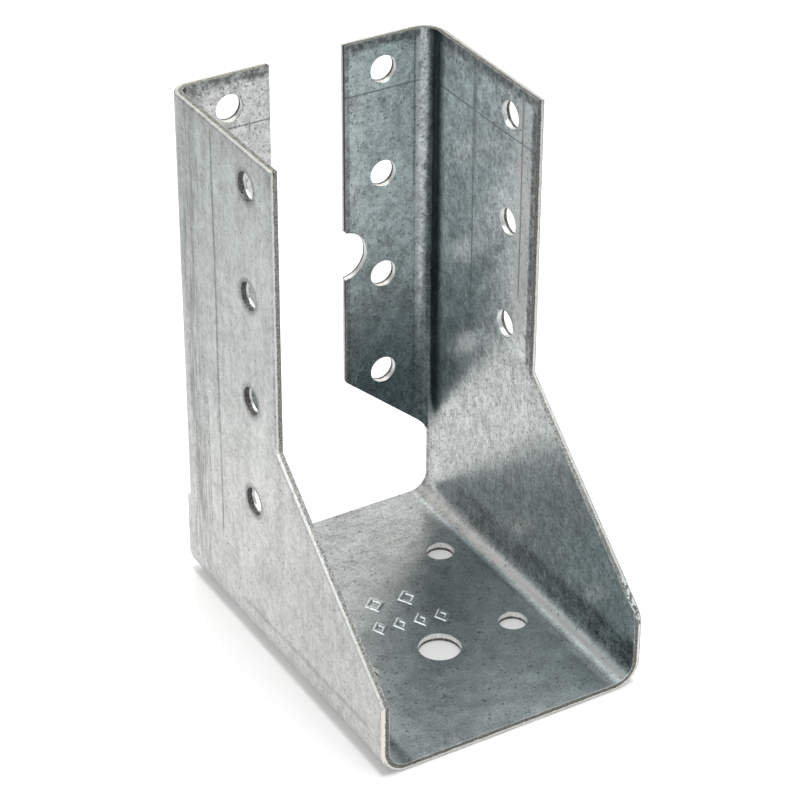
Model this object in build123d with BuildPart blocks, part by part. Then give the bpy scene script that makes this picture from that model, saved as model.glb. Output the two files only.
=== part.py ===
from build123d import *
from math import radians, tan
import os

os.makedirs("parts", exist_ok=True)

# Sheet and folds, millimetres
sheet = 1.5
left_fold_inner = 2.0
right_fold_inner = 2.7
widest_fold = max(left_fold_inner, right_fold_inner) + sheet
seat_fold_inner = 3.5
seat_fold_outer = seat_fold_inner + sheet

# Overall size
joist_gap = 48.0
height = 96.0
depth = 69.5
width = joist_gap + 2 * sheet
half = width / 2
back = depth / 2

# Cheeks: a narrow upper part, a slope and a full depth foot
upper_depth = 35.0
waist_height = 44.0
foot_height = 14.2
worn_corner = 4.0

# Rear edge of the seat and of the cheek feet, below the flanges
rear_setback = 1.6
rear = back - rear_setback
rear_edge_top = 16.0
run_out = 3.6

# Header flanges, turned inwards
flange_width = 18.3
flange_free = half - flange_width
slant_high = 29.5
slant_angle = 40.2
relief_radius = 4.7

# Half round notch in the free edge of each flange
notch_radius = 4.7
notch_height = 55.5
notch_centre = 0.5

# Nail holes
nail_hole = 5.0
nail_pitch = 20.0
nail_clearance = 0.5
nail_low = slant_high + nail_clearance
flange_row = 10.7
cheek_row = 27.0

# Holes in the seat, the whole pattern a little off the middle
seat_hole_x = 15.0
seat_hole_front = 45.4
seat_hole_back = 21.0
seat_hole_shift = 0.3
bolt_hole = 7.5

# Rounded side of the outline's edges, and the smaller one round the holes
roll = 0.3
hole_roll = 0.1

# Rows of nails shared by the flanges and the cheeks, the top one at least a hole's width below the edge
nail_count = 1 + int((height - nail_hole - nail_low) / nail_pitch)
row_middle = nail_low + nail_pitch * (nail_count - 1) / 2

with BuildPart() as hanger:
    # Seat and cheeks as one channel, open at the top
    with BuildSketch(Plane.XZ.offset(-back)) as channel:
        Rectangle(width, height, align=(Align.CENTER, Align.MIN))
        with Locations((0, sheet)):
            Rectangle(joist_gap, height, align=(Align.CENTER, Align.MIN), mode=Mode.SUBTRACT)
        fillet(channel.vertices().group_by(Axis.Y)[0], seat_fold_outer)
        fillet(channel.vertices().filter_by_position(Axis.Y, sheet / 2, sheet * 1.01), seat_fold_inner)
    extrude(amount=depth)

    # Side outline of the cheeks
    with BuildSketch(Plane.YZ) as side_outline:
        with BuildLine():
            foot = Line((rear, 0), (rear, rear_edge_top))
            blend = Spline(
                foot @ 1,
                (back - widest_fold, rear_edge_top + run_out),
                tangents=((0, 1), (0, 1)),
            )
            Polyline(
                blend @ 1,
                (back - widest_fold, height),
                (back - upper_depth, height),
                (back - upper_depth, waist_height),
                (-back, foot_height),
                (-back, 0),
                foot @ 0,
            )
        make_face()
    extrude(amount=width, both=True, mode=Mode.INTERSECT)

    # Where the slanted end of a flange would meet the cheek, and how far its rounding reaches from there
    slant_drop = (joist_gap / 2 - flange_free) * tan(radians(slant_angle))
    relief_corner = slant_high - slant_drop
    relief_reach = relief_radius * tan(radians(90 - slant_angle) / 2)

    # Fold and flange at the back of each cheek, begun a little inside the cheek
    for side, fold_inner in ((-1, left_fold_inner), (1, right_fold_inner)):
        fold_outer = fold_inner + sheet
        fold_centre = (side * (half - fold_outer), back - fold_outer)
        with BuildSketch(Plane.XY.offset(relief_corner - relief_reach / 2)) as angle:
            with BuildLine():
                outer = CenterArc(fold_centre, fold_outer, 90 - 90 * side, 90 * side)
                inner = CenterArc(fold_centre, fold_inner, 90 - 90 * side, 90 * side)
                Polyline(
                    outer @ 0,
                    (side * half, back - widest_fold - sheet),
                    (side * joist_gap / 2, back - widest_fold - sheet),
                    inner @ 0,
                )
                Polyline(
                    outer @ 1,
                    (side * flange_free, back),
                    (side * flange_free, back - sheet),
                    inner @ 1,
                )
            make_face()
        extrude(amount=height - relief_corner + relief_reach / 2)

    # Slanted lower end of the flanges, rounded into the rear edge of the cheek
    with BuildSketch(Plane.XZ.offset(-back)) as slant:
        with BuildLine():
            Polyline(
                (flange_free, slant_high),
                (joist_gap / 2, relief_corner),
                (joist_gap / 2, seat_fold_outer),
                (flange_free, seat_fold_outer),
                close=True,
            )
        make_face()
        fillet(slant.vertices().sort_by(Axis.X)[-2:].sort_by(Axis.Y)[-1], relief_radius)
        mirror(about=Plane.YZ)
    extrude(amount=widest_fold, mode=Mode.SUBTRACT)

    # The same end carried around the fold to the rear edge of the cheek
    with BuildSketch(Plane.YZ) as fold_end:
        with BuildLine():
            Polyline(
                (rear, seat_fold_outer),
                (rear, rear_edge_top),
                (back, rear_edge_top + rear_setback),
                (back, seat_fold_outer),
                close=True,
            )
        make_face()
    extrude(amount=width, both=True, mode=Mode.SUBTRACT)

    # Half round notches in the free edges
    with BuildSketch(Plane.XZ.offset(-back)) as notch:
        with Locations((flange_free - notch_centre, notch_height), (notch_centre - flange_free, notch_height)):
            Circle(notch_radius)
    extrude(amount=sheet, mode=Mode.SUBTRACT)

    # Nail holes in the flanges
    with BuildSketch(Plane.XZ.offset(-back)) as flange_holes:
        with Locations((0, row_middle)):
            with GridLocations(2 * (half - flange_row), nail_pitch, 2, nail_count):
                Circle(nail_hole / 2)
    extrude(amount=sheet, mode=Mode.SUBTRACT)

    # Nail holes in the left cheek
    with BuildSketch(Plane.YZ.offset(-half)) as left_holes:
        with Locations((back - cheek_row, row_middle)):
            with GridLocations(nail_pitch, nail_pitch, 1, nail_count):
                Circle(nail_hole / 2)
    extrude(amount=sheet, mode=Mode.SUBTRACT)

    # Nail holes in the right cheek, one fewer: the lowest is left out
    with BuildSketch(Plane.YZ.offset(half)) as right_holes:
        with Locations((back - cheek_row, row_middle + nail_pitch / 2)):
            with GridLocations(nail_pitch, nail_pitch, 1, nail_count - 1):
                Circle(nail_hole / 2)
    extrude(amount=-sheet, mode=Mode.SUBTRACT)

    # Four nail holes and one bolt hole in the seat
    with BuildSketch(Plane.XY) as seat_holes:
        with Locations((seat_hole_shift, back - (seat_hole_front + seat_hole_back) / 2)):
            with GridLocations(2 * seat_hole_x, seat_hole_front - seat_hole_back, 2, 2):
                Circle(nail_hole / 2)
        with Locations((seat_hole_shift, back - seat_hole_front)):
            Circle(bolt_hole / 2)
    extrude(amount=sheet, mode=Mode.SUBTRACT)

    # Right front corner of the foot, worn round
    foot_corners = hanger.edges().filter_by(Axis.X).filter_by_position(Axis.Z, foot_height, foot_height)
    fillet(foot_corners.sort_by(Axis.X)[-1], worn_corner)

    # Outline edges rolled over on the outer side of the sheet
    cheeks = hanger.faces().filter_by(Axis.X).sort_by(Axis.X)
    cheek_rims = cheeks[0].edges() + cheeks[-1].edges()
    cheek_rims = cheek_rims.filter_by_position(Axis.Y, -back, back - widest_fold - roll)
    cheek_rims = cheek_rims.filter_by_position(Axis.Z, seat_fold_outer + roll, height)
    flange_rims = hanger.faces().filter_by_position(Axis.Y, back, back).edges()
    flange_rims = flange_rims.filter_by_position(Axis.X, widest_fold + roll - half, half - widest_fold - roll)
    seat_rims = hanger.faces().sort_by(Axis.Z)[0].edges()
    seat_rims = seat_rims.filter_by_position(Axis.Y, -back, rear - roll)
    seat_rims = seat_rims.filter_by_position(Axis.X, seat_fold_outer + roll - half, half - seat_fold_outer - roll)
    rims = cheek_rims + flange_rims + seat_rims
    fillet(rims.filter_by(lambda rim: not rim.is_closed), roll)

    # Holes punched from the inner side, their rims drawn in as a plain cone
    inner_faces = hanger.faces().filter_by(GeomType.PLANE)
    inner_faces = inner_faces.filter_by_position(Axis.X, -joist_gap / 2, joist_gap / 2)
    inner_faces = inner_faces.filter_by_position(Axis.Y, -back, back - sheet)
    inner_faces = inner_faces.filter_by_position(Axis.Z, sheet, height)
    chamfer(inner_faces.edges().filter_by(lambda rim: rim.is_closed), hole_roll)

hanger.part.label = "joist_hanger"
export_step(hanger.part, "parts/joist_hanger.step")
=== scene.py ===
import math

import bpy
from mathutils import Matrix, Vector


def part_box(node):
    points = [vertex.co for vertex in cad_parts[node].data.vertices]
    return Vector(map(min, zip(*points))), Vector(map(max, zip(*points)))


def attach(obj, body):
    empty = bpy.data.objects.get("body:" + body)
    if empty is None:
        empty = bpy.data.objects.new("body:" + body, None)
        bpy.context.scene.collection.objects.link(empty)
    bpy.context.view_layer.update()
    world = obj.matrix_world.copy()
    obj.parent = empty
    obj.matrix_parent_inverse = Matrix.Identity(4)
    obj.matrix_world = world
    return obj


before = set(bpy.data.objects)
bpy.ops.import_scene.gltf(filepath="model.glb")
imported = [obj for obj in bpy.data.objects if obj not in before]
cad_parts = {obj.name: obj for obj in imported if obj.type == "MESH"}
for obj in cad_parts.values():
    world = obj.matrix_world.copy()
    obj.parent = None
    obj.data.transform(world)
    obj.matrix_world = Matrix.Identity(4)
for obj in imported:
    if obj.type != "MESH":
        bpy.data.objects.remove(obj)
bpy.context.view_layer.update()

MM = 0.001
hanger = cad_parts["joist_hanger"]
hanger_low, hanger_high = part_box("joist_hanger")

# Sheet sizes that the finish follows, in millimetres, as in the part's source
HALF = hanger_high.x / MM
BACK = hanger_high.y / MM
SHEET = 1.5
SEAT_BEND = 5.0
LEFT_BEND = 3.5
RIGHT_BEND = 4.2
FLANGE_FOOT = 15.0
FLANGE_FREE = HALF - 18.3
WAIST_HEIGHT = 44.0
UPPER_FRONT = BACK - 35.0
REAR = BACK - 1.6
ROLL = 0.3

# Holes, as in the part's source
NAIL_RADIUS = 2.5
NAIL_LOW = 30.0
NAIL_PITCH = 20.0
FLANGE_ROW = HALF - 10.7
CHEEK_ROW = BACK - 27.0
SEAT_MIDDLE = 0.3
SEAT_HOLE_X = 15.0
SEAT_HOLE_FRONT = BACK - 45.4
SEAT_HOLE_BACK = BACK - 21.0
BOLT_RADIUS = 3.75
NOTCH_RADIUS = 4.7
NOTCH_HEIGHT = 55.5
NOTCH_CENTRE = FLANGE_FREE - 0.5

# Camera, at the place that the photograph was taken from, with its turns in radians
IMAGE_SIZE = 800
FOCAL_PIXELS = 2883.5
SENSOR_WIDTH = 36.0
CAMERA_AT = Vector((-210.64, -349.78, 304.23)) * MM
CAMERA_TURN = 0.5388
CAMERA_DOWN = 0.5634
CAMERA_ROLL = 0.0045
CLIP_START = 0.01
CLIP_END = 20.0


def add_camera():
    """The photograph's camera, as the scene's own."""
    forward = Vector((
        math.sin(CAMERA_TURN) * math.cos(CAMERA_DOWN),
        math.cos(CAMERA_TURN) * math.cos(CAMERA_DOWN),
        -math.sin(CAMERA_DOWN),
    ))
    right = forward.cross(Vector((0, 0, 1))).normalized()
    up = right.cross(forward)
    rolled_right = math.cos(CAMERA_ROLL) * right + math.sin(CAMERA_ROLL) * up
    rolled_up = math.cos(CAMERA_ROLL) * up - math.sin(CAMERA_ROLL) * right
    data = bpy.data.cameras.new("camera")
    data.sensor_width = SENSOR_WIDTH
    data.lens = FOCAL_PIXELS / IMAGE_SIZE * SENSOR_WIDTH
    data.clip_start = CLIP_START
    data.clip_end = CLIP_END
    camera = bpy.data.objects.new("camera", data)
    turn = Matrix((rolled_right, rolled_up, -forward)).transposed().to_4x4()
    camera.matrix_world = Matrix.Translation(CAMERA_AT) @ turn
    bpy.context.scene.collection.objects.link(camera)
    bpy.context.scene.camera = camera


class Graph:
    """Short calls that add nodes to one material or world and join them up."""

    def __init__(self, owner):
        owner.use_nodes = True
        self.tree = owner.node_tree
        self.tree.nodes.clear()

    def node(self, kind, **settings):
        made = self.tree.nodes.new(kind)
        for name, value in settings.items():
            setattr(made, name, value)
        return made

    def put(self, socket, value):
        if isinstance(value, bpy.types.NodeSocket):
            self.tree.links.new(value, socket)
        else:
            socket.default_value = value

    def math(self, operation, first, second=0.0, third=0.0):
        made = self.node("ShaderNodeMath", operation=operation)
        for socket, value in zip(made.inputs, (first, second, third)):
            self.put(socket, value)
        return made.outputs[0]

    def add(self, first, second):
        return self.math("ADD", first, second)

    def sub(self, first, second):
        return self.math("SUBTRACT", first, second)

    def mul(self, first, second):
        return self.math("MULTIPLY", first, second)

    def above(self, value, limit):
        """1 where the value is over the limit, 0 elsewhere."""
        return self.math("GREATER_THAN", value, limit)

    def below(self, value, limit):
        """1 where the value is under the limit, 0 elsewhere."""
        return self.math("LESS_THAN", value, limit)

    def unsigned(self, value):
        return self.math("ABSOLUTE", value)

    def inverse(self, value):
        """What the value leaves of 1."""
        return self.sub(1.0, value)

    def length(self, across, along):
        """Length of the hypotenuse over two sides."""
        squares = self.add(self.mul(across, across), self.mul(along, along))
        return self.math("SQRT", squares)

    def times(self, *factors):
        result = factors[0]
        for factor in factors[1:]:
            result = self.mul(result, factor)
        return result

    def swing(self, value, *factors):
        """How far the value is from 0.5, times the factors."""
        return self.times(self.sub(value, 0.5), *factors)

    def most(self, *values):
        result = values[0]
        for value in values[1:]:
            result = self.math("MAXIMUM", result, value)
        return result

    def least(self, *values):
        result = values[0]
        for value in values[1:]:
            result = self.math("MINIMUM", result, value)
        return result

    def step(self, value, start, end, low=0.0, high=1.0):
        """From low at start to high at end, with a smooth change between."""
        made = self.node("ShaderNodeMapRange", interpolation_type="SMOOTHSTEP", clamp=True)
        sockets = {"Value": value, "From Min": start, "From Max": end, "To Min": low, "To Max": high}
        for name, given in sockets.items():
            self.put(made.inputs[name], given)
        return made.outputs[0]

    def band(self, value, start, end, soft):
        """1 between start and end, 0 outside, each side soft wide."""
        rising = self.step(value, start - soft, start + soft)
        falling = self.step(value, end - soft, end + soft, 1.0, 0.0)
        return self.mul(rising, falling)

    def split(self, vector):
        made = self.node("ShaderNodeSeparateXYZ")
        self.put(made.inputs[0], vector)
        return made.outputs

    def join(self, x, y, z):
        made = self.node("ShaderNodeCombineXYZ")
        for socket, value in zip(made.inputs, (x, y, z)):
            self.put(socket, value)
        return made.outputs[0]

    def vector(self, operation, first, second):
        made = self.node("ShaderNodeVectorMath", operation=operation)
        self.put(made.inputs[0], first)
        self.put(made.inputs[1], second)
        return made

    def scale(self, vector, factors):
        return self.vector("MULTIPLY", vector, factors).outputs[0]

    def shift(self, vector, offset):
        return self.vector("ADD", vector, offset).outputs[0]

    def noise(self, vector, size, detail, rough=0.5, offset=(0.0, 0.0, 0.0), stretch=(1.0, 1.0, 1.0)):
        """Noise whose features are about size millimetres, drawn out by stretch along each axis."""
        made = self.node("ShaderNodeTexNoise")
        factors = tuple(1.0 / share for share in stretch)
        self.put(made.inputs["Vector"], self.shift(self.scale(vector, factors), offset))
        self.put(made.inputs["Scale"], 1.0 / size)
        self.put(made.inputs["Detail"], detail)
        self.put(made.inputs["Roughness"], rough)
        return made.outputs["Fac"]

    def spots(self, vector, size):
        """Distance to the nearest of points about size millimetres apart, and a random number for each."""
        made = self.node("ShaderNodeTexVoronoi")
        self.put(made.inputs["Vector"], vector)
        self.put(made.inputs["Scale"], 1.0 / size)
        random = self.split(made.outputs["Color"])[0]
        return made.outputs["Distance"], random

    def mix(self, amount, first, second):
        """From the first colour to the second."""
        made = self.node("ShaderNodeMix", data_type="RGBA")
        self.put(made.inputs[0], amount)
        self.put(made.inputs[6], first)
        self.put(made.inputs[7], second)
        return made.outputs[2]

    def blend(self, amount, first, second):
        """From the first number to the second."""
        made = self.node("ShaderNodeMix", data_type="FLOAT")
        self.put(made.inputs[0], amount)
        self.put(made.inputs[2], first)
        self.put(made.inputs[3], second)
        return made.outputs[0]

    def turn(self, amount, first, second):
        """From the first vector to the second."""
        made = self.node("ShaderNodeMix", data_type="VECTOR")
        self.put(made.inputs[0], amount)
        self.put(made.inputs[4], first)
        self.put(made.inputs[5], second)
        return made.outputs[1]

    def brighten(self, colour, factor):
        made = self.node("ShaderNodeVectorMath", operation="SCALE")
        self.put(made.inputs[0], colour)
        self.put(made.inputs["Scale"], factor)
        return made.outputs[0]

    def bump(self, height, strength, distance, normal=None):
        """The normal tilted by a height, whose 1 stands for distance millimetres."""
        made = self.node("ShaderNodeBump")
        if normal is not None:
            self.put(made.inputs["Normal"], normal)
        self.put(made.inputs["Height"], height)
        self.put(made.inputs["Strength"], strength)
        self.put(made.inputs["Distance"], distance * MM)
        return made.outputs[0]

    def finish(self, kind, surface):
        """The output node, which shows the surface."""
        made = self.node(kind)
        self.put(made.inputs["Surface"], surface)


def millimetres(g):
    """The point being shaded in the part's own frame, in millimetres."""
    coordinate = g.node("ShaderNodeTexCoord")
    return g.scale(coordinate.outputs["Object"], (1 / MM, 1 / MM, 1 / MM))


def skin_depth(g, x, y, z):
    """How far below the outer skin of the folded sheet a point lies, from 0 to the sheet's thickness."""
    side = g.unsigned(x)
    flange_bend = g.blend(g.above(x, 0.0), LEFT_BEND, RIGHT_BEND)

    def rounded(across, bend):
        out = g.add(g.sub(side, HALF), bend)
        corner = g.length(g.most(out, 0.0), g.most(across, 0.0))
        flat = g.least(g.most(out, across), 0.0)
        return g.sub(bend, g.add(corner, flat))

    channel = rounded(g.sub(SEAT_BEND, z), SEAT_BEND)
    flange = rounded(g.add(g.sub(y, BACK), flange_bend), flange_bend)
    return g.blend(g.above(z, FLANGE_FOOT), channel, g.least(channel, flange))


# How far past a hole its cut rim begins to fade and has ended, and how wide the ring round a cheek's hole is
RIM_FADES = 0.16
RIM_ENDS = 0.26
RING_WIDTH = 1.3

# How far off a sheet a point may be and still count as on it
SLACK = 0.3


def hole_area(g, x, y, z):
    """1 in and just round the holes and notches, 0 elsewhere, and a soft ring round the cheeks' holes."""
    side = g.unsigned(x)
    turned = g.math("WRAP", z, NAIL_LOW + NAIL_PITCH / 2, NAIL_LOW - NAIL_PITCH / 2)
    row = g.sub(turned, NAIL_LOW)

    def near(reach, radius):
        return g.step(reach, radius + RIM_FADES, radius + RIM_ENDS, 1.0, 0.0)

    # Seat
    off_middle = g.sub(x, SEAT_MIDDLE)
    seat_half = (SEAT_HOLE_BACK - SEAT_HOLE_FRONT) / 2
    seat_across = g.sub(g.unsigned(off_middle), SEAT_HOLE_X)
    seat_along = g.sub(g.unsigned(g.sub(y, SEAT_HOLE_FRONT + seat_half)), seat_half)
    seat = g.most(
        near(g.length(seat_across, seat_along), NAIL_RADIUS),
        near(g.length(off_middle, g.sub(y, SEAT_HOLE_FRONT)), BOLT_RADIUS),
    )

    # Cheeks, the right one without the lowest hole
    cheek_reach = g.length(g.sub(y, CHEEK_ROW), row)
    lowest = g.blend(g.above(x, 0.0), NAIL_LOW, NAIL_LOW + NAIL_PITCH)
    punched = g.above(z, g.sub(lowest, NAIL_RADIUS * 2))
    cheek = g.mul(near(cheek_reach, NAIL_RADIUS), punched)
    ring = g.mul(g.step(cheek_reach, NAIL_RADIUS, NAIL_RADIUS + RING_WIDTH, 1.0, 0.0), punched)

    # Flanges
    flange_reach = g.length(g.sub(side, FLANGE_ROW), row)
    notch_reach = g.length(g.sub(side, NOTCH_CENTRE), g.sub(z, NOTCH_HEIGHT))
    flange = g.most(
        g.mul(near(flange_reach, NAIL_RADIUS), g.above(z, NAIL_LOW - NAIL_RADIUS * 2)),
        near(notch_reach, NOTCH_RADIUS),
    )
    holes = g.most(
        g.mul(seat, g.below(z, SHEET + SLACK)),
        g.mul(cheek, g.above(side, HALF - SHEET - SLACK)),
        g.mul(flange, g.above(y, BACK - SHEET - SLACK)),
    )
    return holes, ring


def bend_course(g, x, z):
    """Way over the inner skin from the seat up into the cheek, 0 where the bend begins."""
    over = g.sub(g.unsigned(x), HALF - SEAT_BEND)
    angle = g.math("ARCTAN2", g.most(over, 0.0), g.most(g.sub(SEAT_BEND, z), 0.001))
    before = g.least(over, 0.0)
    after = g.most(g.sub(z, SEAT_BEND), 0.0)
    return g.add(g.add(before, g.mul(angle, SEAT_BEND - SHEET)), after)


class Place:
    """Where a point lies on the folded sheet: its millimetres, and 0 to 1 for each kind of face."""

    def __init__(self, g):
        self.point = millimetres(g)
        x, y, z = self.x, self.y, self.z = g.split(self.point)
        self.depth = skin_depth(g, x, y, z)
        self.course = bend_course(g, x, z)
        self.holes, self.ring = hole_area(g, x, y, z)
        self.on_left = g.below(x, 0.0)

        # Inner skin, outer skin and cut edges
        self.inside = g.step(self.depth, SHEET - 0.10, SHEET - 0.04)
        skin = g.step(self.depth, ROLL, ROLL + 0.1, 1.0, 0.0)
        self.outside = g.mul(skin, g.inverse(g.mul(self.holes, g.step(self.depth, 0.01, 0.03))))
        self.cut = g.inverse(g.most(self.inside, self.outside))

        # Sheets of the fold, each seen from inside unless the name says outer
        flange_start = BACK - RIGHT_BEND
        behind = g.step(y, flange_start, flange_start + 0.6)
        upper = g.above(z, FLANGE_FOOT)
        self.seat = g.mul(self.inside, g.step(z, 4.0, 2.0))
        self.cheek = g.mul(self.inside, g.step(x, HALF - SHEET - 2.0, HALF - SHEET - 0.4))
        self.flange = g.times(self.inside, behind, upper)
        self.bend = g.times(self.inside, g.band(self.course, 0.2, 3.0, 0.7))
        self.flat_cheek = g.mul(self.inside, g.above(x, HALF - SHEET - 1.0))
        self.flat_flange = g.times(self.inside, g.above(y, REAR), upper)
        self.outer_left = g.mul(self.outside, g.below(x, -HALF + 0.4))
        self.outer_right = g.mul(self.outside, g.above(x, HALF - 0.4))


# Lines that the press tools drew, and one painted reflection of the floor's shadow, each with its place, its
# width, and where it starts and ends
SCRIBED = (86.3, 0.24, -60.0, 60.0)
CHEEK_LINE = (18.75, 0.30, 49.0, 95.0)
CHEEK_LINE_HAZE = (18.6, 1.0, 76.0, 93.0)
CHEEK_FRONT_LINE = (3.75, 0.34, 57.0, 94.0)
FLANGE_LINE = (HALF - RIGHT_BEND - 0.35, 0.22, 66.0, 96.0)
FLANGE_SCRATCH = (-11.1, 0.22, 84.8, 86.9)
FLANGE_STRIP = (HALF - RIGHT_BEND + 0.1, 0.4, 60.0, 96.0)
# Soft dark line along the foot of the left cheek's outer skin: painted reflection of the shadow on the floor
FLOOR_SHADOW_REFLECTION = (7.4, 0.7, -30.0, 12.0)
LEFT_DRAGS = (
    (19.45, 0.45, 17.0, 95.0),
    (23.75, 0.20, 16.0, 42.0),
    (27.25, 0.20, 25.0, 42.0),
    (26.9, 0.16, 80.0, 92.0),
    (28.3, 0.16, 82.0, 94.0),
)
RIGHT_DRAGS = (
    (20.4, 0.2, 20.0, 92.0),
    (26.2, 0.16, 30.0, 70.0),
)


def line(g, across, along, drawn):
    """A thin line at one value of across, from its start to its end along the other."""
    at, width, start, end = drawn
    near = g.step(g.unsigned(g.sub(across, at)), width * 0.3, width, 1.0, 0.0)
    return g.mul(near, g.band(along, start, end, 1.0))


def drawn_marks(g, place):
    """Dark lines and streaks, and light strips, that the press tools left, and a painted reflection of the
    floor's shadow low on the left cheek.
    """
    point, x, y, z = place.point, place.x, place.y, place.z
    wander = g.swing(g.noise(point, 14.0, 0.0, offset=(3.0, 8.0, 2.0)), 0.25)
    faint = g.step(g.noise(point, 2.2, 1.0, 0.6, offset=(8.0, 1.0, 5.0)), 0.3, 0.6, 0.5, 1.0)
    y_soft = g.add(y, wander)
    z_soft = g.add(z, wander)
    x_soft = g.add(x, wander)

    # Thin scribed and dragged lines
    scribe = g.mul(g.most(place.flat_cheek, place.flat_flange), line(g, z_soft, y, SCRIBED))
    cheek_lines = g.mul(place.flat_cheek, g.most(
        line(g, y_soft, z, CHEEK_LINE),
        g.mul(line(g, y_soft, z, CHEEK_LINE_HAZE), 0.55),
        line(g, y_soft, z, CHEEK_FRONT_LINE),
    ))
    flange_line = g.mul(place.flat_flange, line(g, x_soft, z, FLANGE_LINE))
    flange_scratch = g.mul(place.flat_flange, line(g, x_soft, z, FLANGE_SCRATCH))
    left_drags = g.mul(place.outer_left, g.most(*[line(g, y_soft, z, drag) for drag in LEFT_DRAGS]))
    right_drags = g.mul(place.outer_right, g.most(*[line(g, y_soft, z, drag) for drag in RIGHT_DRAGS]))
    # Painted reflection of the floor's shadow, low on the left cheek's outer skin
    painted_shadow_reflection = g.mul(place.outer_left, line(g, g.add(z_soft, g.mul(y, 0.02)), y, FLOOR_SHADOW_REFLECTION))

    # Rubbed zone with upright streaks
    streaks = g.step(g.noise(g.join(y, g.mul(z, 0.06), x), 0.7, 1.0, 0.75), 0.40, 0.60)
    gone = g.noise(point, 9.0, 1.0, 0.6, offset=(1.0, 4.0, 8.0), stretch=(1.0, 1.0, 2.2))
    rubbed = g.times(
        g.most(place.outer_left, place.outer_right),
        g.band(y, 24.6, 30.6, 1.0),
        streaks,
        g.step(gone, 0.36, 0.6, 0.2, 1.0),
    )
    dark = g.most(
        scribe,
        cheek_lines,
        g.mul(flange_line, 0.7),
        flange_scratch,
        g.mul(left_drags, faint),
        g.mul(painted_shadow_reflection, 0.4),
        g.mul(rubbed, 0.8),
        g.mul(right_drags, 0.5),
    )

    strip = g.times(place.flat_cheek, g.band(y, 1.4, 5.2, 0.4), g.band(z, 50.0, 94.0, 2.0), 0.8)
    flange_strip = g.times(place.flat_flange, line(g, x_soft, z, FLANGE_STRIP), 0.6)
    light = g.most(strip, flange_strip)
    return dark, light


def worn_marks(g, place):
    """Edges rubbed dark by the tools, with a broken border, and painted shade deep in the right fold."""
    x, y, z = place.x, place.y, place.z
    frayed = g.swing(g.noise(place.point, 0.9, 1.0, 0.7, offset=(6.0, 6.0, 1.0)), 3.2)
    front_strip = g.times(
        place.flat_cheek,
        g.step(y, UPPER_FRONT + 0.9, UPPER_FRONT + 1.5, 1.0, 0.0),
        g.step(z, WAIST_HEIGHT, WAIST_HEIGHT + 2.0),
    )
    flange_edge = g.times(
        place.flat_flange,
        g.step(x, FLANGE_FREE + 1.0, FLANGE_FREE + 0.7),
        g.above(x, 0.0),
    )
    top_strip = g.times(
        g.most(place.flat_cheek, place.flat_flange),
        g.step(g.add(z, g.mul(frayed, 0.6)), 93.7, 95.0),
    )
    rear_strip = g.times(place.flat_cheek, g.step(y, REAR - 1.2, REAR - 0.9), g.step(z, 15.0, 13.0))
    tick = g.times(place.flat_cheek, g.band(z, 50.2, 51.0, 0.2), g.band(y, 0.2, 1.8, 0.2))
    left_top = g.times(
        place.flat_flange,
        g.below(x, 0.0),
        g.step(g.add(z, g.mul(frayed, 1.6)), 93.4, 95.4),
    )
    left_fold = LEFT_BEND - HALF
    left_corner = g.times(
        place.inside,
        g.step(g.add(x, frayed), left_fold + 0.4, left_fold + 2.6, 1.0, 0.0),
        g.step(y, BACK - LEFT_BEND - 1.0, BACK - LEFT_BEND),
        g.step(g.add(z, g.mul(frayed, 2.0)), 86.0, 93.5),
    )
    worn = g.most(
        g.mul(front_strip, 0.85),
        g.mul(flange_edge, 0.6),
        g.mul(top_strip, 0.85),
        g.mul(rear_strip, 0.35),
        tick,
        g.mul(left_top, 0.9),
        g.mul(left_corner, 0.85),
    )

    # Painted shade deep in the right fold, fading out onto the cheek
    fold_foot = HALF - SHEET - 0.55
    painted_fold_shade = g.times(
        place.inside,
        g.step(x, fold_foot, fold_foot + 0.4),
        g.step(y, BACK - RIGHT_BEND - 3.0, BACK - RIGHT_BEND - 0.2),
        g.step(z, 15.0, 22.0),
    )
    return worn, painted_fold_shade


# How bright the clean coating is, and how much each of its features and each painted light or shade adds to
# that or takes away
BASE_TONE = 0.67
CLOUD = 0.10
PATCH = 0.16
MOTTLE = 0.16
GRAIN = 0.22
OUTER_GRAIN = 0.12
CHEEK_STREAK = 0.13
SEAT_FLECK = 0.11
SEAT_SCRATCH = 0.08
OUTER_STREAK = 0.13
OUTER_REAR_BAND = 0.09
# Painted highlight, painted light and painted shade that the tone takes in: along the bend, on the outer
# skin, the flanges, the cheeks, the seat and in the right fold
BEND_PAINTED_HIGHLIGHT = 0.36
BEND_PAINTED_HIGHLIGHT_MOTTLED = 0.48
OVER_BEND_PAINTED_SHADE = 0.25
BEND_FOOT_PAINTED_SHADE = 0.24
OUTER_PAINTED_LIGHT = 0.07
UNDER_TOP_PAINTED_SHADE = 0.10
LEFT_FLANGE_PAINTED_LIGHT = 0.12
RIGHT_FLANGE_TOP_PAINTED_LIGHT = 0.11
CHEEK_TOP_PAINTED_SHADE = 0.06
CHEEK_FOOT_PAINTED_SHADE = 0.08
SEAT_BACK_PAINTED_SHADE = -0.06
SEAT_FRONT_PAINTED_LIGHT = 0.075
RIGHT_FOLD_PAINTED_SHADE = 0.16

# Its tints on the inner skin, bluer as a painted cast of its shade, on the outer skin and the left flange,
# and of the painted highlight along the bend of the seat
INNER_SHADE_TINT = (0.892, 1.0, 1.02, 1.0)
OUTER_TINT = (0.92, 1.0, 1.0, 1.0)
LEFT_FLANGE_TINT = (0.935, 1.0, 1.005, 1.0)
BEND_HIGHLIGHT_TINT = (0.918, 1.0, 0.972, 1.0)


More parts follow.
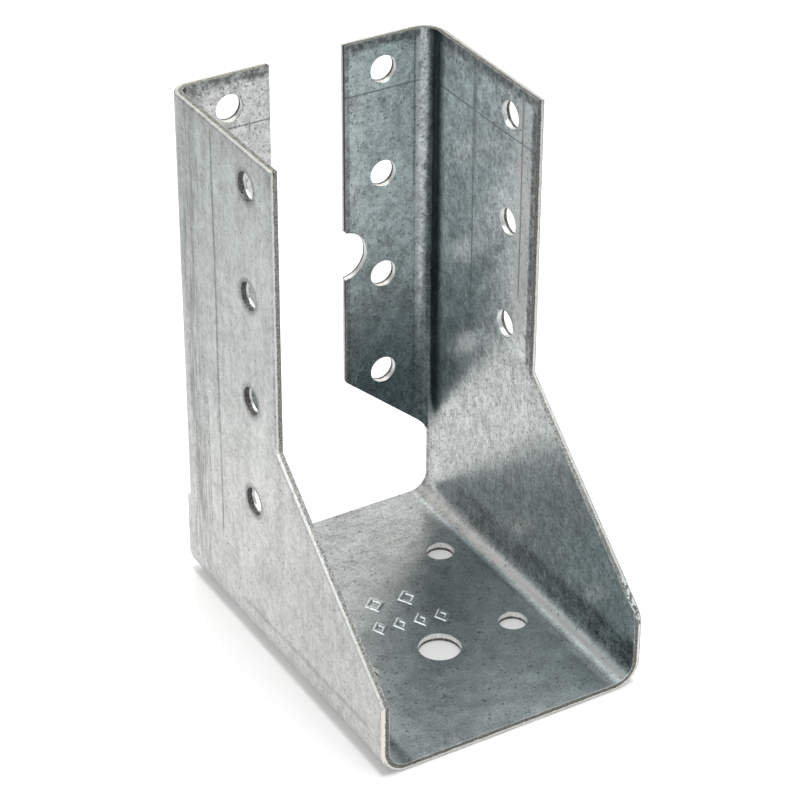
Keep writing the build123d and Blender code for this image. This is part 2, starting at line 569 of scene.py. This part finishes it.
def coating(g, place, patch, mottle, grain):
    """Colour of the coating before any marks: clouds, streaks, and light and shade by its folds."""
    point, x, y, z = place.point, place.x, place.y, place.z
    inside, outside, seat = place.inside, place.outside, place.seat

    # Clouds and grain, calmer on the seat
    cloud = g.step(g.noise(point, 9.0, 2.0, 0.6), 0.3, 0.7)
    calm = g.blend(seat, g.blend(outside, g.step(z, 34.0, 54.0, 1.05, 1.4), 0.9), 0.55)
    tone = g.add(BASE_TONE, g.swing(cloud, CLOUD, calm))
    tone = g.add(tone, g.swing(patch, PATCH, calm))
    tone = g.add(tone, g.swing(mottle, MOTTLE, calm))
    tone = g.add(tone, g.swing(grain, g.blend(seat, g.blend(outside, GRAIN, OUTER_GRAIN), GRAIN)))

    # Streaks that lean over the right cheek
    lean = g.join(g.sub(y, g.mul(z, 0.2)), g.mul(z, 0.28), x)
    streak = g.step(g.noise(lean, 0.65, 2.0, 0.65, offset=(4.0, 6.0, 0.0)), 0.46, 0.68)
    streak = g.times(streak, place.cheek, g.step(z, 80.0, 30.0, 0.3, 1.0), g.step(z, 5.0, 12.0, 0.4, 1.0))
    tone = g.sub(tone, g.mul(streak, CHEEK_STREAK))

    # Flecks at the back of the seat, swirls over all of it and scratches at its front
    fleck = g.noise(point, 1.5, 2.0, 0.65, offset=(5.0, 2.0, 3.0), stretch=(1.6, 0.9, 1.0))
    fleck = g.times(g.step(fleck, 0.42, 0.68), seat, g.step(y, 2.0, 22.0, 0.0, 1.0))
    tone = g.sub(tone, g.mul(fleck, SEAT_FLECK))
    swirl = g.noise(point, 5.5, 1.0, 0.55, offset=(1.0, 5.0, 3.0), stretch=(1.3, 1.0, 1.0))
    swirl = g.mul(g.step(swirl, 0.35, 0.7), seat)
    tone = g.add(tone, g.swing(swirl, g.step(y, 5.0, -25.0, 0.07, 0.14)))
    slant = g.join(g.add(g.mul(x, 0.08), g.mul(y, 0.02)), g.add(y, g.mul(x, 0.12)), z)
    scratch = g.noise(slant, 0.22, 1.0, 0.5)
    scratch = g.times(g.step(scratch, 0.62, 0.74), seat, g.step(y, -16.0, -26.0))
    tone = g.add(tone, g.mul(scratch, SEAT_SCRATCH))

    # Upright streaks and a drawn band on the outer skin
    drawn = g.noise(g.join(y, g.mul(z, 0.07), x), 1.4, 2.0, 0.6, offset=(3.0, 3.0, 7.0))
    drawn = g.times(
        g.step(drawn, 0.4, 0.68),
        outside,
        g.step(y, 12.0, 26.0, 0.5, 1.0),
        g.step(z, 12.0, 24.0, 0.3, 1.0),
    )
    tone = g.sub(tone, g.mul(drawn, OUTER_STREAK))
    rear_band = g.times(outside, g.band(y, 27.0, 29.6, 0.9), g.step(z, 14.0, 30.0))
    tone = g.sub(tone, g.times(rear_band, g.step(cloud, 0.0, 0.8), OUTER_REAR_BAND))

    # Painted highlight along the bend of the seat, warmer and mottled, and painted shade at its foot and
    # over it
    painted_bend_highlight = g.times(inside, g.band(place.course, 1.25, 2.75, 0.65))
    painted_bend_foot_shade = g.times(inside, g.band(place.course, -0.6, 0.9, 0.6), g.step(y, 24.0, -14.0))
    painted_over_bend_shade = g.times(
        inside,
        g.band(place.course, 3.4, 9.0, 1.2),
        g.step(y, 26.0, 12.0),
        g.step(y, 20.0, -28.0, 0.75, 0.95),
    )
    tone = g.add(tone, g.mul(painted_bend_highlight, g.blend(mottle, BEND_PAINTED_HIGHLIGHT, BEND_PAINTED_HIGHLIGHT_MOTTLED)))
    tone = g.sub(tone, g.mul(painted_over_bend_shade, OVER_BEND_PAINTED_SHADE))
    tone = g.sub(tone, g.mul(painted_bend_foot_shade, BEND_FOOT_PAINTED_SHADE))

    # Outer skin painted lighter, with painted shade on it just under the top edge
    tone = g.add(tone, g.mul(outside, OUTER_PAINTED_LIGHT))
    painted_under_top_shade = g.step(g.add(z, g.mul(cloud, 2.0)), 92.0, 96.0)
    tone = g.sub(tone, g.times(outside, g.step(y, REAR - 1.0, REAR - 3.0), painted_under_top_shade, UNDER_TOP_PAINTED_SHADE))

    # Painted light and painted shade on the sheets of the fold: lighter flanges, the right cheek darker at
    # the top and low at the front, the seat lighter at the front and darker at the back, and the right fold
    # darker
    painted_flange_light = g.blend(place.on_left, g.step(z, 34.0, 92.0, 0.0, RIGHT_FLANGE_TOP_PAINTED_LIGHT), LEFT_FLANGE_PAINTED_LIGHT)
    tone = g.add(tone, g.mul(place.flange, painted_flange_light))
    # Painted shade on the right cheek's inner face, towards its top and low at the front by the bend
    low_front = g.times(g.step(z, 17.0, 7.0), g.step(y, 8.0, -20.0))
    painted_cheek_shade = g.add(g.step(z, 50.0, 85.0, 0.0, CHEEK_TOP_PAINTED_SHADE), g.mul(low_front, CHEEK_FOOT_PAINTED_SHADE))
    tone = g.sub(tone, g.times(place.cheek, painted_cheek_shade))
    # Painted light towards the seat's front and painted shade towards its back
    tone = g.add(tone, g.times(seat, g.step(y, 20.0, -14.0, SEAT_BACK_PAINTED_SHADE, SEAT_FRONT_PAINTED_LIGHT)))
    # Painted shade in the right fold
    fold_x = HALF - RIGHT_BEND
    fold_y = BACK - RIGHT_BEND
    in_fold = g.times(inside, g.step(x, fold_x, fold_x + 0.8), g.step(y, fold_y, fold_y + 0.8))
    tone = g.sub(tone, g.mul(in_fold, RIGHT_FOLD_PAINTED_SHADE))

    # The inner skin's bluer tint is the painted cast of its shade
    tint = g.mix(outside, INNER_SHADE_TINT, OUTER_TINT)
    tint = g.mix(g.mul(place.flange, place.on_left), tint, LEFT_FLANGE_TINT)
    tint = g.mix(painted_bend_highlight, tint, BEND_HIGHLIGHT_TINT)
    return g.brighten(tint, tone)


# Colours of the cut edges before their brightness
TORN = (0.925, 0.965, 0.91)
SHEARED = (0.925, 0.99, 0.95)
BURNISHED = (0.92, 0.99, 0.97)
HOLE_TORN = (0.93, 0.97, 0.93)
SMEARED = (0.9, 0.98, 0.99)
FREE_EDGE_LIP = (0.06, 0.065, 0.065, 1.0)
# Painted highlight on the lip by the inner skin
LIP_PAINTED_HIGHLIGHT = (0.72, 0.76, 0.75, 1.0)

# How bright the torn side is at the foot, over the slope and on the upper parts, and the sheared side too
TORN_FOOT = 0.24
LEFT_SLOPE_TORN = (0.42, 0.5)
RIGHT_SLOPE_TORN = (0.32, 0.46)
LEFT_UPPER_TORN = 0.38
RIGHT_UPPER_TORN = 0.24
LEFT_TOP_TORN = 0.31
RIGHT_TOP_TORN = 0.23
SHEARED_TONE = 0.84
SHEARED_TOP = 0.70
BURNISHED_TONE = 0.92

# Height over which the top edges take over from the upright ones
TOP_START = 95.0
TOP_END = 95.5


class CutEdge:
    """Sheared and punched edges: a bright band, a torn one, and zinc smeared over the worn foot corner."""

    def __init__(self, g, place):
        point, x, y, z = place.point, place.x, place.y, place.z
        depth, on_left = place.depth, place.on_left
        self.grain = g.noise(point, 0.30, 1.0, 0.75, offset=(2.0, 5.0, 8.0))
        ragged = g.add(depth, g.swing(g.noise(point, 0.9, 1.0), 0.3))

        # Outline: bright by the outer skin and torn by the inner one, each stretch with its own tone
        self.torn_share = g.step(ragged, 0.64, 0.76)
        right_slope = g.step(z, 20.0, 36.0, *RIGHT_SLOPE_TORN)
        left_slope = g.step(z, 22.0, 34.0, *LEFT_SLOPE_TORN)
        torn_tone = g.blend(g.step(z, 12.0, 17.0), TORN_FOOT, g.blend(on_left, right_slope, left_slope))
        above_waist = g.step(z, WAIST_HEIGHT - 1.0, WAIST_HEIGHT + 3.0)
        at_top = g.step(z, TOP_START, TOP_END)
        torn_tone = g.blend(above_waist, torn_tone, g.blend(on_left, RIGHT_UPPER_TORN, LEFT_UPPER_TORN))
        torn_tone = g.blend(at_top, torn_tone, g.blend(on_left, RIGHT_TOP_TORN, LEFT_TOP_TORN))
        torn_rough = g.blend(g.step(self.grain, 0.3, 0.7), 0.55, 1.45)
        torn = g.brighten(TORN, g.mul(torn_tone, torn_rough))
        free_edge = g.times(g.above(y, REAR), g.below(g.unsigned(x), FLANGE_FREE + 0.5))
        torn = g.mix(g.times(free_edge, g.step(depth, 0.8, 0.95), 0.8), torn, FREE_EDGE_LIP)
        sheared_tone = g.blend(at_top, SHEARED_TONE, SHEARED_TOP)
        sheared = g.brighten(SHEARED, g.add(sheared_tone, g.swing(self.grain, 0.6)))
        edge = g.mix(self.torn_share, sheared, torn)

        # Thin lip by the inner skin, painted bright as a broken highlight along that edge
        lip_grain = g.noise(point, 1.3, 1.0, 0.7, offset=(3.0, 2.0, 2.0))
        lip_grain = g.step(lip_grain, 0.48, 0.6, 0.1, 1.0)
        lip_highlight = g.times(g.step(ragged, 1.30, 1.38), g.step(z, 32.0, 24.0, 0.0, 1.0), lip_grain)
        edge = g.mix(g.mul(lip_highlight, 0.8), edge, LIP_PAINTED_HIGHLIGHT)

        # Punched holes the other way about: burnished by the inner skin and torn by the outer one
        left_hole = g.times(g.below(x, SHEET + SLACK - HALF), g.above(z, FLANGE_FOOT))
        self.break_line = g.step(g.sub(ragged, g.mul(left_hole, 0.42)), 0.50, 0.60)
        upright = g.noise(g.join(g.mul(x, 0.9), y, g.mul(z, 0.2)), 0.3, 1.0, 0.6)
        burnished = g.brighten(BURNISHED, g.add(BURNISHED_TONE, g.swing(upright, 0.8)))
        hole_torn = g.brighten(HOLE_TORN, g.step(self.grain, 0.3, 0.7, 0.08, 0.30))
        edge = g.mix(place.holes, edge, g.mix(self.break_line, hole_torn, burnished))

        # Zinc smeared over the cut at the worn corner of the right foot
        jagged = g.swing(g.noise(point, 1.6, 1.0, 0.7), 2.4)
        self.smear = g.times(
            place.cut,
            g.above(x, 20.0),
            g.below(y, -26.0),
            g.band(z, 12.0, 19.0, 0.4),
            g.step(g.add(depth, jagged), 1.35, 1.15),
        )
        crumbled = g.noise(point, 0.7, 1.0, 0.75, offset=(7.0, 7.0, 3.0))
        crumbled = g.step(crumbled, 0.44, 0.56, 0.25, 0.95)
        self.colour = g.mix(self.smear, edge, g.brighten(SMEARED, crumbled))


def pits(g, place):
    """Round pits and small dark specks, more of them on the flanges and none of the pits on the bend."""
    near, pick = g.spots(place.point, 2.2)
    chosen = g.above(pick, g.blend(place.flange, 0.62, 0.3))
    pit = g.times(g.step(near, 0.05, 0.13, 1.0, 0.0), g.inverse(place.bend), chosen)
    speck_start = g.blend(g.most(place.flange, place.cheek), 0.75, 0.70)
    speck_noise = g.noise(place.point, 0.55, 0.0, offset=(4.0, 1.0, 7.0))
    speck = g.step(g.sub(speck_noise, speck_start), 0.0, 0.06)
    return pit, speck


def slope_rim(g, place):
    """Bright rubbed rim on the rolled side of the left cheek's slope."""
    rim_grain = g.noise(place.point, 0.8, 1.0, 0.65, offset=(9.0, 9.0, 2.0))
    return g.times(
        g.below(place.x, -HALF + 0.5),
        g.below(place.y, UPPER_FRONT + 0.5),
        g.below(place.z, WAIST_HEIGHT + 1.0),
        g.step(place.depth, 0.01, 0.03),
        g.step(g.add(place.depth, g.swing(rim_grain, 1.7)), 0.58, 0.5),
    )


# Colours of the marks in the coating
LIGHT_MARK = (0.83, 0.86, 0.85, 1.0)
DARK_MARK = (0.19, 0.215, 0.22, 1.0)
WORN_MARK = (0.13, 0.14, 0.14, 1.0)
HOLE_RING = (0.17, 0.18, 0.18, 1.0)
# Painted shade deep in the right fold
PAINTED_FOLD_SHADE = (0.035, 0.06, 0.065, 1.0)
PIT = (0.10, 0.11, 0.11, 1.0)
RUBBED_RIM = (0.94, 0.94, 0.90, 1.0)

# Roughness of each kind of face, and what patches, mottle and marks add to it
INNER_DULL = 0.235
OUTER_DULL = 0.21
SEAT_DULL = 0.27
BEND_DULL = 0.36
ROLLED_DULL = 0.5
SHEARED_DULL = 0.32
TORN_DULL = 0.6
SMEAR_DULL = 0.4
PIT_DULL = 0.6
INNER_PATCH_DULL = 0.03
OUTER_PATCH_DULL = 0.09
MOTTLE_DULL = 0.02
MARK_DULL = 0.12

# Depths of the relief in millimetres: the seat's bend, the coating and the torn edges
EASED_BEND = 1.34
COATING_RELIEF = 0.06
TORN_RELIEF = 0.06


def relief(g, place, edge):
    """Normal of the sheet, from heights of few nodes, because Blender works each of them out three times."""
    eased = g.bump(g.step(place.course, -1.5, 6.0), 1.0, EASED_BEND)
    level = g.node("ShaderNodeNewGeometry")
    normal = g.turn(place.inside, level.outputs["Normal"], eased)
    waves = g.noise(place.point, 1.9, 0.0, offset=(7.0, 3.0, 1.0), stretch=(1.0, 1.0, 1.4))
    outer_ring = g.times(place.ring, g.above(g.unsigned(place.x), HALF - 0.2), 1.2)
    height = g.sub(g.mul(waves, 0.25), outer_ring)
    strength = g.mul(g.blend(place.outside, 0.5, 1.0), g.inverse(place.cut))
    normal = g.bump(height, strength, COATING_RELIEF, normal)
    return g.bump(edge.grain, place.cut, TORN_RELIEF, normal)


def galvanised():
    """Zinc coated sheet: cloudy coating, press lines, pits, and cut edges with a bright and a dark band."""
    material = bpy.data.materials.new("galvanised_sheet")
    g = Graph(material)
    place = Place(g)
    point, outside = place.point, place.outside
    patch = g.noise(point, 2.8, 2.0, 0.65, offset=(7.0, 3.0, 1.0), stretch=(1.0, 1.0, 1.4))
    patch = g.step(patch, 0.26, 0.74)
    mottle = g.noise(point, 0.95, 2.0, 0.7, offset=(2.0, 7.0, 9.0), stretch=(1.0, 1.0, 1.2))
    mottle = g.step(mottle, 0.36, 0.66)
    grain = g.step(g.noise(point, 0.34, 1.0, 0.6, offset=(1.0, 9.0, 4.0)), 0.3, 0.7)

    # Coating, with the marks of the press, the painted shade deep in the right fold and the pits over it
    dark, light = drawn_marks(g, place)
    worn, painted_fold_shade = worn_marks(g, place)
    pit, speck = pits(g, place)
    left_ring = g.times(place.ring, outside, place.on_left, g.blend(grain, 0.85, 0.5))
    zinc = coating(g, place, patch, mottle, grain)
    zinc = g.mix(g.mul(light, 0.75), zinc, LIGHT_MARK)
    zinc = g.mix(g.mul(dark, 0.68), zinc, DARK_MARK)
    zinc = g.mix(g.mul(worn, g.blend(mottle, 1.0, 0.55)), zinc, WORN_MARK)
    zinc = g.mix(left_ring, zinc, HOLE_RING)
    zinc = g.mix(g.mul(painted_fold_shade, 0.92), zinc, PAINTED_FOLD_SHADE)
    zinc = g.mix(g.most(g.mul(pit, 0.8), g.mul(speck, 0.6)), zinc, PIT)

    # Cut edges
    edge = CutEdge(g, place)
    colour = g.mix(place.cut, zinc, edge.colour)
    colour = g.mix(g.mul(slope_rim(g, place), 0.9), colour, RUBBED_RIM)

    # Roughness
    rolled = g.mul(g.step(place.depth, 0.01, 0.04), g.step(place.depth, ROLL + 0.1, ROLL))
    dull = g.blend(place.seat, g.blend(outside, INNER_DULL, OUTER_DULL), SEAT_DULL)
    dull = g.add(dull, g.mul(patch, g.blend(outside, INNER_PATCH_DULL, OUTER_PATCH_DULL)))
    dull = g.add(dull, g.mul(mottle, MOTTLE_DULL))
    dull = g.add(dull, g.mul(g.most(dark, light, worn), MARK_DULL))
    dull = g.blend(place.bend, dull, BEND_DULL)
    torn_share = g.blend(place.holes, edge.torn_share, g.inverse(edge.break_line))
    cut_dull = g.blend(torn_share, SHEARED_DULL, TORN_DULL)
    dull = g.blend(place.cut, dull, g.blend(edge.smear, cut_dull, SMEAR_DULL))
    dull = g.blend(rolled, dull, ROLLED_DULL)
    dull = g.blend(g.times(g.most(pit, speck), outside, 0.8), dull, PIT_DULL)

    shader = g.node("ShaderNodeBsdfPrincipled")
    g.put(shader.inputs["Base Color"], colour)
    g.put(shader.inputs["Metallic"], 1.0)
    g.put(shader.inputs["Roughness"], dull)
    g.put(shader.inputs["Normal"], relief(g, place, edge))
    g.finish("ShaderNodeOutputMaterial", shader.outputs[0])
    return material


# Rows of pressed lozenges: centre of the first and of the last, how many, and the half diagonals of each
PIP_ROWS = (
    ((-3.2, 5.6), (2.9, 4.5), 2, (2.1, 2.5)),
    ((-5.9, -0.9), (5.5, -3.1), 4, (1.65, 2.2)),
)
PIP_TURN = math.radians(-11)

# Width of a lozenge's ridge, and its height at shares of that width, from under the seat's face and back
RIDGE_WIDTH = 1.0
RIDGE_LEVELS = ((0.0, -0.03), (0.25, 0.07), (0.5, 0.11), (0.75, 0.07), (1.0, -0.03))
RIDGE_SOFTENING = 0.06


def add_lozenge(points, faces, centre_x, centre_y, half_across, half_along):
    """Adds one lozenge outline to the points and faces, as rings of four corners."""
    first = len(points)
    narrowing = RIDGE_WIDTH * math.hypot(half_across, half_along) / (half_across * half_along)
    for inward, rise in RIDGE_LEVELS:
        reach = 1.0 - inward * narrowing
        for u, v in ((half_across, 0), (0, half_along), (-half_across, 0), (0, -half_along)):
            points.append((
                (centre_x + (u * math.cos(PIP_TURN) - v * math.sin(PIP_TURN)) * reach) * MM,
                (centre_y + (u * math.sin(PIP_TURN) + v * math.cos(PIP_TURN)) * reach) * MM,
                (SHEET + rise) * MM,
            ))
    for level in range(len(RIDGE_LEVELS) - 1):
        here = first + level * 4
        for corner in range(4):
            onward = (corner + 1) % 4
            faces.append((here + corner, here + onward, here + 4 + onward, here + 4 + corner))


def add_pips(material):
    """Pressed lozenge outlines in two rows on the seat, in one mesh."""
    points = []
    faces = []
    for start, end, count, halves in PIP_ROWS:
        for number in range(count):
            share = number / (count - 1)
            centre_x = start[0] + (end[0] - start[0]) * share
            centre_y = start[1] + (end[1] - start[1]) * share
            add_lozenge(points, faces, centre_x, centre_y, *halves)
    mesh = bpy.data.meshes.new("seat_pips")
    mesh.from_pydata(points, [], faces)
    mesh.shade_smooth()
    mesh.materials.append(material)
    pips = bpy.data.objects.new("seat_pips", mesh)
    bpy.context.scene.collection.objects.link(pips)
    softened = pips.modifiers.new("softened", "BEVEL")
    softened.width = RIDGE_SOFTENING * MM
    softened.segments = 2
    softened.limit_method = "NONE"
    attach(pips, "root")


# Colour of the studio's light
WARM = (1.09, 1.0, 0.95)
WHITE = (1.0, 1.0, 1.0, 1.0)

# How bright the floor looks to the camera, round the part and, with painted shade, under it, and in
# reflections, with painted shade under the part and a painted pool of light round it
FLOOR_HALF_WIDTH = 1.6
FLOOR_SEEN = 1.15
FLOOR_UNDER_PAINTED_SHADE = 0.67
LIFT_SEEN = 0.25
FLOOR_MIRRORED = 0.5
LIFT_UNDER_PAINTED_SHADE = 0.3
LIFT_POOL_NEAR = 0.5
LIFT_POOL_FAR = 0.22


def add_floor():
    """A white table top. What the camera and reflections see of it is lifted, and its shadow stays; it has
    painted shade under the part, and in reflections a painted pool of light round the part.
    """
    corners = [(side * FLOOR_HALF_WIDTH, end * FLOOR_HALF_WIDTH, hanger_low.z)
               for side, end in ((-1, -1), (1, -1), (1, 1), (-1, 1))]
    mesh = bpy.data.meshes.new("floor")
    mesh.from_pydata(corners, [], [(0, 1, 2, 3)])
    floor = bpy.data.objects.new("floor", mesh)
    bpy.context.scene.collection.objects.link(floor)
    material = bpy.data.materials.new("floor_white")
    g = Graph(material)
    path = g.node("ShaderNodeLightPath")
    to_camera = path.outputs["Is Camera Ray"]
    x, y, _ = g.split(millimetres(g))
    outside = g.most(g.sub(g.unsigned(x), HALF), g.sub(g.unsigned(y), BACK))
    # Painted shade on the floor under the part, as the camera sees it through the holes
    seen = g.step(outside, -1.0, 0.0, FLOOR_UNDER_PAINTED_SHADE, FLOOR_SEEN)
    mirrored = (*(FLOOR_MIRRORED / part for part in WARM), 1.0)
    white = g.node("ShaderNodeBsdfDiffuse")
    g.put(white.inputs["Color"], g.mix(to_camera, mirrored, g.join(seen, seen, seen)))
    # Painted shade under the part and a painted pool of light round it, seen in reflections
    painted_pool_lift = g.least(
        g.step(outside, -2.0, 4.0, LIFT_UNDER_PAINTED_SHADE, LIFT_POOL_NEAR),
        g.step(g.length(x, y), 40.0, 190.0, LIFT_POOL_NEAR, LIFT_POOL_FAR),
    )
    glow = g.node("ShaderNodeEmission")
    warm_twice = (*(part ** 2 for part in WARM), 1.0)
    g.put(glow.inputs["Color"], g.mix(to_camera, warm_twice, WHITE))
    seen_lift = g.mul(to_camera, LIFT_SEEN)
    g.put(glow.inputs["Strength"], g.most(seen_lift, g.mul(path.outputs["Is Glossy Ray"], painted_pool_lift)))
    both = g.node("ShaderNodeAddShader")
    g.put(both.inputs[0], white.outputs[0])
    g.put(both.inputs[1], glow.outputs[0])
    g.finish("ShaderNodeOutputMaterial", both.outputs[0])
    mesh.materials.append(material)


# Direction of the dark camera stand, seen from the part, and the colour of what stands there
DARK_SIDE = (-0.434, -0.726, 0.534)
DARK_TINT = (0.75, 0.95, 1.0, 1.0)


def add_world():
    """A white tent: bright round the horizon, greyer overhead, and dark on the camera's side."""
    world = bpy.data.worlds.new("studio")
    bpy.context.scene.world = world
    g = Graph(world)
    outward = g.node("ShaderNodeTexCoord").outputs["Generated"]
    x, y, z = g.split(outward)
    sky = g.step(z, 0.15, 0.75, 0.95, 0.6)
    facing = g.vector("DOT_PRODUCT", outward, DARK_SIDE).outputs["Value"]
    dark = g.most(g.step(facing, 0.25, 0.85, 0.0, 0.68), g.step(facing, 0.86, 0.96, 0.0, 0.9))
    right_back = g.step(g.add(g.mul(x, 0.7), g.mul(y, 0.7)), 0.3, 0.9, 1.0, 1.2)
    left_back = g.step(g.add(g.mul(x, -0.70), g.mul(y, 0.71)), 0.45, 0.85, 1.0, 0.55)
    tone = g.times(sky, right_back, left_back, g.inverse(dark))
    colour = g.mix(g.mul(dark, 0.9), (*WARM, 1.0), DARK_TINT)
    to_camera = g.node("ShaderNodeLightPath").outputs["Is Camera Ray"]
    background = g.node("ShaderNodeBackground")
    g.put(background.inputs["Color"], g.mix(to_camera, colour, WHITE))
    g.put(background.inputs["Strength"], g.blend(to_camera, tone, 1.0))
    g.finish("ShaderNodeOutputWorld", background.outputs[0])


# The lamp over the part, in millimetres and watts, and the height that it faces
LAMP_AT = (30, 40, 800)
LAMP_SIZE = 1100
LAMP_POWER = 5.6
LAMP_AIM_HEIGHT = 40


def add_lamp():
    """A soft square lamp that faces the middle of the part."""
    data = bpy.data.lights.new("top", "AREA")
    data.shape = "SQUARE"
    data.size = LAMP_SIZE * MM
    data.energy = LAMP_POWER
    lamp = bpy.data.objects.new("top", data)
    lamp.location = Vector(LAMP_AT) * MM
    aim = Vector((0, 0, LAMP_AIM_HEIGHT * MM)) - lamp.location
    lamp.rotation_mode = "QUATERNION"
    lamp.rotation_quaternion = aim.to_track_quat("-Z", "Y")
    bpy.context.scene.collection.objects.link(lamp)


add_camera()
add_floor()
add_world()
add_lamp()
bpy.context.scene.view_settings.view_transform = "Standard"

steel = galvanised()
for slot in hanger.material_slots:
    slot.material = steel
add_pips(steel)
